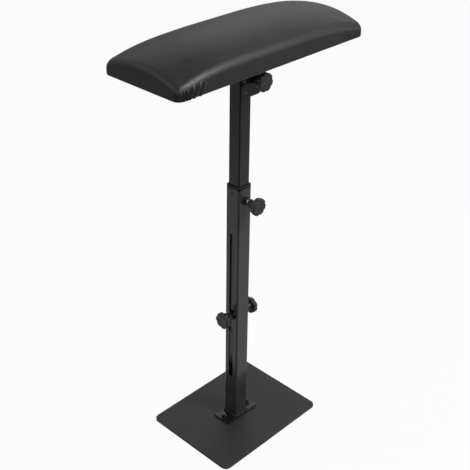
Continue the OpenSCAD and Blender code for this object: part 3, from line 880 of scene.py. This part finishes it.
def newTree(name, inputs):  # inputs are starting values, or the kind of socket as a word
    tree = bpy.data.node_groups.new(name, "GeometryNodeTree")
    tree.interface.new_socket(name="Geometry", in_out="OUTPUT", socket_type="NodeSocketGeometry")
    for label, value in inputs.items():
        kind = value if isinstance(value, str) else {int: "Int", float: "Float"}[type(value)]
        socket = tree.interface.new_socket(name=label, in_out="INPUT", socket_type="NodeSocket" + kind)
        if kind != value:
            socket.default_value = value
    source, sink = tree.nodes.new("NodeGroupInput"), tree.nodes.new("NodeGroupOutput")

    def node(kind, setup=None, **links):
        made = tree.nodes.new("GeometryNode" + kind)
        for label, value in (setup or {}).items():
            setattr(made, label, value)
        for label, item in links.items():
            plug(item, made.inputs[label.replace("_", " ")])
        return made

    def maths(operation, *items):
        made = tree.nodes.new("ShaderNodeMath")
        made.operation = operation
        for socket, item in zip(made.inputs, items):
            plug(item, socket)
        return made.outputs[0]

    def vector(**parts):
        return shaderNode(tree, "CombineXYZ", **parts).outputs["Vector"]

    def chance():
        made = tree.nodes.new("FunctionNodeRandomValue")
        plug(source.outputs["Seed"], made.inputs["Seed"])
        return made.outputs[1]

    def copies(points, turn):  # the template at each point
        item = node("ObjectInfo", {"transform_space": "ORIGINAL"}, Object=source.outputs["Template"])
        made = node("InstanceOnPoints", Points=points, Instance=item.outputs["Geometry"], Rotation=turn)
        return made.outputs["Instances"]

    def moved(geometry, **move):
        return node("Transform", Geometry=geometry, **move).outputs["Geometry"]

    def close(geometry):
        real = node("RealizeInstances", Geometry=geometry).outputs["Geometry"]
        finished = node("SetMaterial", Geometry=real, Material=source.outputs["Finish"])
        plug(finished.outputs["Geometry"], sink.inputs["Geometry"])
        return tree

    return SimpleNamespace(
        ins=source.outputs, node=node, maths=maths, vector=vector,
        chance=chance, copies=copies, moved=moved, close=close,
    )


def grown(name, tree, values):
    carrier = newMesh(name, [], [])
    modifier = carrier.modifiers.new("grow", "NODES")
    modifier.node_group = tree
    for item in tree.interface.items_tree:
        if item.in_out == "INPUT" and item.name in values:
            modifier[item.identifier] = values[item.name]
    return baked(carrier)


def beadTree():  # a rippled weld bead round a square
    tree = newTree("rippledBead", {
        "Side": 0.03, "Corner": 0.003, "Height": 0.0, "Bead Radius": 0.002,
        "Ripple Pitch": 0.0016, "Ripple Depth": 0.12, "Seed": 7, "Finish": "Material"})
    ins, node, maths = tree.ins, tree.node, tree.maths
    square = node("CurvePrimitiveQuadrilateral", Width=ins["Side"], Height=ins["Side"]).outputs["Curve"]
    bent = node("FilletCurve", {"mode": "POLY"}, Curve=square, Radius=ins["Corner"], Count=6).outputs["Curve"]
    fine = node("ResampleCurve", {"mode": "LENGTH"}, Curve=bent, Length=0.0003).outputs["Curve"]
    run = maths("DIVIDE", node("SplineParameter").outputs["Length"], ins["Ripple Pitch"])
    ripple = maths("MULTIPLY", maths("POWER", maths("FRACT", run), 1.6), ins["Ripple Depth"])
    uneven = maths("MULTIPLY_ADD", tree.chance(), 0.03, maths("SUBTRACT", 1.0, ripple))
    sized = node("SetCurveRadius", Curve=fine, Radius=uneven).outputs["Curve"]
    ring = node("CurvePrimitiveCircle", Resolution=16, Radius=ins["Bead Radius"]).outputs["Curve"]
    width = node("InputRadius").outputs[0]
    tube = node("CurveToMesh", Curve=sized, Profile_Curve=ring, Scale=width).outputs["Mesh"]
    return tree.close(tree.moved(tube, Translation=tree.vector(Z=ins["Height"])))


postWeld = {
    "Side": 0.0320,
    "Corner": 0.0028,
    "Height": 0.0082,
    "Bead Radius": 0.0019,
    "Ripple Pitch": 0.0017,
    "Ripple Depth": 0.2,
    "Finish": glossCoat,
}
weldBead = outward(grown("postWeld", beadTree(), postWeld))
dressed(weldBead, "stand", "black_coat", glossCoat, "post_weld")
print("weld bead:", len(weldBead.data.polygons), "faces")


def rowsTree():  # one template, set out in rows and columns
    tree = newTree("screwRows", {
        "Template": "Object", "Along": 2, "Across": 1, "Gap Along": 0.06, "Gap Across": 0.03,
        "Height": 0.0, "Turn Spread": 3.0, "Seed": 3, "Finish": "Material"})
    ins, node, maths, vector = tree.ins, tree.node, tree.maths, tree.vector

    def halfRun(count, gap):
        return maths("MULTIPLY", maths("MULTIPLY", maths("SUBTRACT", count, 1.0), gap), -0.5)

    lineX = node("MeshLine", Count=ins["Along"], Offset=vector(X=ins["Gap Along"])).outputs["Mesh"]
    lineY = node("MeshLine", Count=ins["Across"], Offset=vector(Y=ins["Gap Across"])).outputs["Mesh"]
    field = node("InstanceOnPoints", Points=lineX, Instance=lineY).outputs["Instances"]
    spots = node("RealizeInstances", Geometry=field).outputs["Geometry"]
    backX, backY = halfRun(ins["Along"], ins["Gap Along"]), halfRun(ins["Across"], ins["Gap Across"])
    centred = tree.moved(spots, Translation=vector(X=backX, Y=backY, Z=ins["Height"]))
    turn = vector(Z=maths("MULTIPLY", tree.chance(), ins["Turn Spread"]))
    return tree.close(tree.copies(centred, turn))


screwRows = rowsTree()


def setOut(name, template, body, slotName, material, node, values):
    piece = grown(name, screwRows, {"Template": template, "Finish": material, **values})
    bpy.data.objects.remove(template)
    creased(outward(piece), 40)
    return dressed(piece, body, slotName, material, node)


screw = {"keyFlats": 0.004, "pitch": 0.001, "depth": 0.0006}


def socketScrew(name, keyRows, headRows, threadRadius, threadStart, top):
    rings = [ringOf(lambda angle: share * hexRadius(screw["keyFlats"], angle), h) for share, h in keyRows]
    rings += [ringOf(r, h) for r, h in headRows]
    rings += threadedRings(threadRadius, screw["pitch"], screw["depth"], threadStart, top, False)
    return ringStack(name, rings)


def countersunkScrew(top):
    key = [(0.35, 0.0026), (0.98, 0.0026), (1.0, 0.0025), (1.0, 0.0003), (1.06, 0.0002)]
    head = [(0.0040, 0.0002), (0.0056, 0.0002), (0.00595, 0.0004), (0.0059, 0.0006), (0.0031, 0.0034)]
    return socketScrew("footScrewTemplate", key, head + [(0.0029, 0.0036)], 0.00295, 0.0040, top)


def buttonScrew(low, top, headHeight=0.004):
    key = [(0.35, 0.0024), (0.98, 0.0024), (1.0, 0.0023), (1.0, 0.0003), (1.08, 0.0)]
    head = []
    for a in np.radians([0, 15, 30, 45, 60, 75, 88]):
        head.append((0.0026 + 0.0034 * sin(a), low + headHeight * 0.88 * (1 - cos(a))))
    seat = low + headHeight
    head += [(0.006, seat - 0.0001), (0.0058, seat), (0.003, seat)]
    key = [(share, low + h) for share, h in key]
    return socketScrew("padScrewTemplate", key, head, 0.00297, seat + 0.0004, top)


def roundWasher(outer, inner, thick, cup=0.00012):
    rows = [(inner + cup, 0), (outer - cup, 0), (outer, cup), (outer, thick - 2.5 * cup)]
    rows += [(outer - 1.5 * cup, thick - 0.5 * cup), (outer - 3 * cup, thick), (inner + cup, thick)]
    rows += [(inner, thick - cup), (inner, cup)]
    return ringLoop("washerTemplate", [ringOf(r, h, 64) for r, h in rows])


foot = {
    "gapAlong": 0.06,
    "screwTop": 0.0152,
    "nutSeat": 0.0082,
    "washerSeat": 0.007,
    "nut": (0.010, 0.005, 0.00305),      # width over flats, height, bore radius
    "washer": (0.006, 0.0032, 0.0012),   # outer and inner radius, thickness
}
footPieces = [  # name, template, node, height, spread of the turns
    ("footScrews", countersunkScrew(foot["screwTop"]), "flange_screws", 0.0, 0.7),
    ("footNuts", hexNut("footNutTemplate", *foot["nut"]), "flange_nuts", foot["nutSeat"], 0.0),
    ("footWashers", roundWasher(*foot["washer"]), "flange_washers", foot["washerSeat"], 0.0),
]
for name, template, node, height, spread in footPieces:
    values = {"Gap Along": foot["gapAlong"], "Height": height, "Turn Spread": spread}
    setOut(name, template, "stand", "black_zinc", blackZinc, node, values)

padScrewLow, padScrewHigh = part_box("pad_screws")
padScrewTemplate = buttonScrew(padScrewLow[2], padScrewHigh[2])
padScrew = {"Across": 2, "Gap Along": 0.1, "Gap Across": 2 * (padScrewHigh[1] - 0.006), "Turn Spread": 1.0}
setOut("padScrews", padScrewTemplate, "head", "bright_zinc", brightZinc, "pad_screws", padScrew)

staple = {
    "crown": 0.010,
    "wire": 0.0007,
    "leg": 0.007,
    "bend": 0.0006,
    "proud": 0.00005,
    "edge": 0.0121,        # from the cushion's outline
    "wobble": 0.16,
}


def stapleTemplate():
    half, bend = staple["wire"] / 2, staple["bend"]
    corner, low = half - staple["crown"] / 2, -staple["proud"] - half
    path = [(corner, staple["leg"])]
    path += [(corner + bend * (1 - cos(a)), low + bend * (1 - sin(a))) for a in quarterTurn(4)]
    path += [(-x, h) for x, h in reversed(path)]
    rings = []
    for i, (x, h) in enumerate(path):
        before, after = path[max(i - 1, 0)], path[min(i + 1, len(path) - 1)]
        dx, dh = after[0] - before[0], after[1] - before[1]
        nx, nh = dh / hypot(dx, dh) * half, -dx / hypot(dx, dh) * half
        around = np.radians(range(0, 360, 45))
        rings.append([(x + nx * cos(a), half * sin(a), h + nh * cos(a)) for a in around])
    return ringStack("stapleTemplate", rings)


def stapleTree():  # two rows of staples, on opposite sides
    tree = newTree("stapleRun", {
        "Template": "Object", "Count": 10, "Run": 0.36, "Offset": 0.068, "Height": 0.724,
        "Wobble": 0.05, "Seed": 11, "Crosswise": 0.0, "Finish": "Material"})
    ins, node, maths, vector = tree.ins, tree.node, tree.maths, tree.vector
    gap = maths("DIVIDE", ins["Run"], ins["Count"])
    line = node("MeshLine", Count=ins["Count"], Offset=vector(X=gap)).outputs["Mesh"]
    back = maths("MULTIPLY", maths("SUBTRACT", ins["Run"], gap), -0.5)
    both = node("JoinGeometry")
    for sign in (1.0, -1.0):
        shift = vector(X=back, Y=maths("MULTIPLY", ins["Offset"], sign), Z=ins["Height"])
        plug(tree.moved(line, Translation=shift), both.inputs["Geometry"])
    turn = maths("MULTIPLY", maths("SUBTRACT", tree.chance(), 0.5), ins["Wobble"])
    copies = tree.copies(both.outputs["Geometry"], vector(Z=turn))
    return tree.close(tree.moved(copies, Rotation=vector(Z=ins["Crosswise"])))


def coverStaples():
    run, template = stapleTree(), stapleTemplate()
    shared = {
        "Template": template,
        "Height": cushion["underside"],
        "Wobble": staple["wobble"],
        "Finish": brightZinc,
    }
    sides = {"Count": 10, "Run": backing["length"], "Offset": cushion["halfWidth"] - staple["edge"]}
    ends = {"Count": 3, "Run": backing["width"], "Offset": cushion["halfLength"] - staple["edge"], "Seed": 12}
    rows = [grown("longStaples", run, {**shared, **sides})]
    rows.append(grown("endStaples", run, {**shared, **ends, "Crosswise": pi / 2}))
    bpy.data.objects.remove(template)
    return outward(joined("coverStaples", rows))


dressed(coverStaples(), "head", "bright_zinc", brightZinc, "cover_staples")
print("screws, nuts, washers and staples set out")

# steel parts with eased edges

easing = {
    "mergeWithin": 2e-6,
    "flatWithin": 0.6,     # degrees under which two faces count as one
    "sharp": 30,           # degrees over which an edge is eased
    "crisp": 40,           # and over which it still shades as an edge after that
    "shadeWeight": 60,
}

easedParts = {  # node: name, body, slot, material, width of the easing, rounds
    "base_plate": ("basePlate", "stand", "black_coat", mattCoat, 0.0004, 3),
    "post_flange": ("postFlange", "stand", "black_coat", glossCoat, 0.0004, 3),
    "outer_tube": ("outerTube", "stand", "black_coat", paintedLightPostCoat, 0.0003, 2),
    "guide_collar": ("guideCollar", "stand", "black_nylon", nylon, 0.0007, 3),
    "inner_tube": ("innerTube", "mast", "black_coat", coat, 0.0002, 2),
    "inner_tube_plug": ("tubePlug", "mast", "black_nylon", nylon, 0.0003, 2),
    "tilt_bracket": ("tiltBracket", "head", "black_coat", coat, 0.00045, 3),
    "slot_washers": ("slotWashers", "mast", "black_zinc", blackZinc, 0.0002, 2),
    "tilt_washer": ("tiltWasher", "head", "black_zinc", blackZinc, 0.0002, 2),
    "pivot_washers": ("pivotWashers", "head", "red_fibre", fibre, 0.0001, 2),
    "pivot_barrel": ("pivotBarrel", "mast", "black_coat", coat, 0.0003, 2),
    "cross_bolt": ("crossBolt", "mast", "bright_zinc", brightZinc, 0.0003, 2),
    "tilt_bolt": ("tiltBolt", "head", "bright_zinc", brightZinc, 0.0003, 2),
}


def softened(node, name, width, rounds):  # a copy of a CAD node with its edges eased
    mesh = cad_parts[node].data.copy()
    obj = inScene(name, mesh)
    work = bmesh.new()
    work.from_mesh(mesh)
    work.transform(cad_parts[node].matrix_world)
    bmesh.ops.remove_doubles(work, verts=work.verts, dist=easing["mergeWithin"])
    flat, sharp = radians(easing["flatWithin"]), radians(easing["sharp"])
    bmesh.ops.dissolve_limit(work, angle_limit=flat, verts=work.verts, edges=work.edges)
    hard = [e for e in work.edges if len(e.link_faces) == 2 and e.calc_face_angle(0) > sharp]
    bmesh.ops.bevel(work, geom=hard, offset=width, offset_type="OFFSET", segments=rounds, profile=0.5,
                    affect="EDGES", clamp_overlap=True)
    bmesh.ops.triangulate(work, faces=[f for f in work.faces if len(f.verts) > 4])
    bmesh.ops.recalc_face_normals(work, faces=work.faces)
    work.to_mesh(mesh)
    work.free()
    mesh.materials.clear()
    shadedSmooth(mesh)
    even = obj.modifiers.new("evenShade", "WEIGHTED_NORMAL")
    even.keep_sharp = True
    even.weight = easing["shadeWeight"]
    return baked(creased(obj, easing["crisp"]))


for node, (name, body, slotName, material, width, rounds) in easedParts.items():
    dressed(softened(node, name, width, rounds), body, slotName, material, node)
print("eased steel parts:", len(easedParts))

keptNodes = {
    "barrel_weld": coat,
    "pad_tee_nuts": brightZinc,
    "pad_board": ply,
    "left_knob_insert": brass,
    "right_knob_insert": brass,
    "tilt_knob_insert": brass,
}
for node, material in keptNodes.items():
    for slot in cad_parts[node].material_slots:
        slot.material = material
print("kept CAD nodes:", len(keptNodes))

# camera, floor and light

camera = {
    "lens": 70.861,
    "sensor": 36,
    "azimuth": radians(-46.1535),
    "elevation": radians(30.8066),
    "roll": radians(0.7244),
    "distance": 1.58297,
    "target": Vector((-0.007696, 0, 0.402458)),
}


def studioCamera():
    ca, sa = cos(camera["azimuth"]), sin(camera["azimuth"])
    ce, se = cos(camera["elevation"]), sin(camera["elevation"])
    cr, sr = cos(camera["roll"]), sin(camera["roll"])
    backward, right = Vector((sa * ce, -ca * ce, se)), Vector((ca, sa, 0))
    up = backward.cross(right)
    lens = bpy.data.cameras.new("studioCamera")
    lens.lens, lens.sensor_width = camera["lens"], camera["sensor"]
    eye = inScene("studioCamera", lens)
    turn = Matrix((right * cr + up * sr, up * cr - right * sr, backward)).transposed().to_4x4()
    eye.matrix_world = Matrix.Translation(camera["target"] + backward * camera["distance"]) @ turn
    return eye


scene.camera = studioCamera()

studio = {
    "floorHalf": 60,
    "floorColour": (0.8, 0.8, 0.8, 1),
    "floorSeen": 0.93,     # share of the floor that the camera sees as plain white
    "floorMirrored": 0.94,  # share of it that a glossy face sees as the painted glow and painted shade described here
    "floorNear": 0.58,     # painted glow beside the stand, seen only in reflections
    "floorFar": 0.27,      # and far from it
    "fall": (0.5, 1.4),
    "wedgeWay": (-0.70, -0.71, 0),
    "paintedShadeWedge": (0.4, 0.72),  # where painted shade darkens the floor in front of the stand, seen only in reflections
    "wedgeLevel": 0.02,
    # height in the sky and brightness there
    "sky": [(0.0, 0.25), (0.3, 0.26), (0.43, 0.9), (0.57, 0.9), (0.74, 0.32), (1.0, 0.28)],
    "aim": Vector((0, 0, 0.6)),
}


def vectorMaths(operation, source, outlet, other=None):
    node = shaderNode(source.id_data, "VectorMath")
    node.operation = operation
    plug(source, node.inputs[0])
    if other:
        node.inputs[1].default_value = other
    return node.outputs[outlet]


# painted light on the floor: a glow that fades with distance, and a painted dark wedge in front of the stand,
# seen only by glossy rays
def paintedFloorGlow(tree):
    place = shaderNode(tree, "TexCoord").outputs["Object"]
    far = vectorMaths("LENGTH", place, "Value")
    fall = remap(far, *studio["fall"], studio["floorNear"], studio["floorFar"])
    bearing = vectorMaths("NORMALIZE", place, "Vector")
    facing = vectorMaths("DOT_PRODUCT", bearing, "Value", studio["wedgeWay"])
    paintedShadeWedge = remap(facing, *studio["paintedShadeWedge"], 1.0, studio["wedgeLevel"])
    return shaderNode(tree, "Emission", Strength=reckon("MULTIPLY", fall, paintedShadeWedge)).outputs[0]


def whiteFloor():
    material = bpy.data.materials.new("paleFloor")
    material.use_nodes = True
    tree = material.node_tree
    tree.nodes.clear()
    matt = shaderNode(tree, "BsdfDiffuse", Color=studio["floorColour"]).outputs[0]
    plain = shaderNode(tree, "Emission", Strength=1.0).outputs[0]
    path = shaderNode(tree, "LightPath")
    mirrored = mixed(studio["floorMirrored"], matt, paintedFloorGlow(tree))
    lit = mixed(path.outputs["Is Glossy Ray"], matt, mirrored)
    seen = mixed(studio["floorSeen"], matt, plain)
    shaderNode(tree, "OutputMaterial", Surface=mixed(path.outputs["Is Camera Ray"], lit, seen))
    return material


def studioSky():
    world = bpy.data.worlds.new("studioSky")
    world.use_nodes = True
    tree = world.node_tree
    tree.nodes.clear()
    way = shaderNode(tree, "TexCoord").outputs["Generated"]
    height = shaderNode(tree, "SeparateXYZ", Vector=way).outputs["Z"]
    levels = [(place, (level, level, level)) for place, level in studio["sky"]]
    dome = shaderNode(tree, "Background", Color=tint(height, levels)).outputs[0]
    white = shaderNode(tree, "Background", Color=(1, 1, 1, 1)).outputs[0]
    path = shaderNode(tree, "LightPath")
    clear = reckon("MAXIMUM", path.outputs["Is Camera Ray"], path.outputs["Is Transmission Ray"])
    shaderNode(tree, "OutputWorld", Surface=mixed(clear, dome, white))
    return world


half = studio["floorHalf"]
corners = [(-half, -half, 0), (half, -half, 0), (half, half, 0), (-half, half, 0)]
floor = newMesh("floor", corners, [(0, 1, 2, 3)])
floor.data.materials.append(whiteFloor())
scene.world = studioSky()

lamps = {  # way from the aim, distance, size, power
    "frontBox": ((0.20, -0.69, 0.62), 1.8, 0.5, 21),
    "backBox": ((0.80, 0.50, 0.42), 2.4, 1.5, 2.5),
    "lowBox": ((0.84, -0.52, 0.10), 2.0, 0.8, 2.6),
    "sideBox": ((-0.75, 0.40, 0.55), 2.4, 0.8, 2),
}
for name, (way, distance, size, power) in lamps.items():
    light = bpy.data.lights.new(name, "AREA")
    light.shape, light.size, light.energy = "SQUARE", size, power
    lamp = inScene(name, light)
    spot = studio["aim"] + Vector(way).normalized() * distance
    turn = (spot - studio["aim"]).to_track_quat("Z", "Y").to_matrix().to_4x4()
    lamp.matrix_world = Matrix.Translation(spot) @ turn
print("camera, floor and light placed")
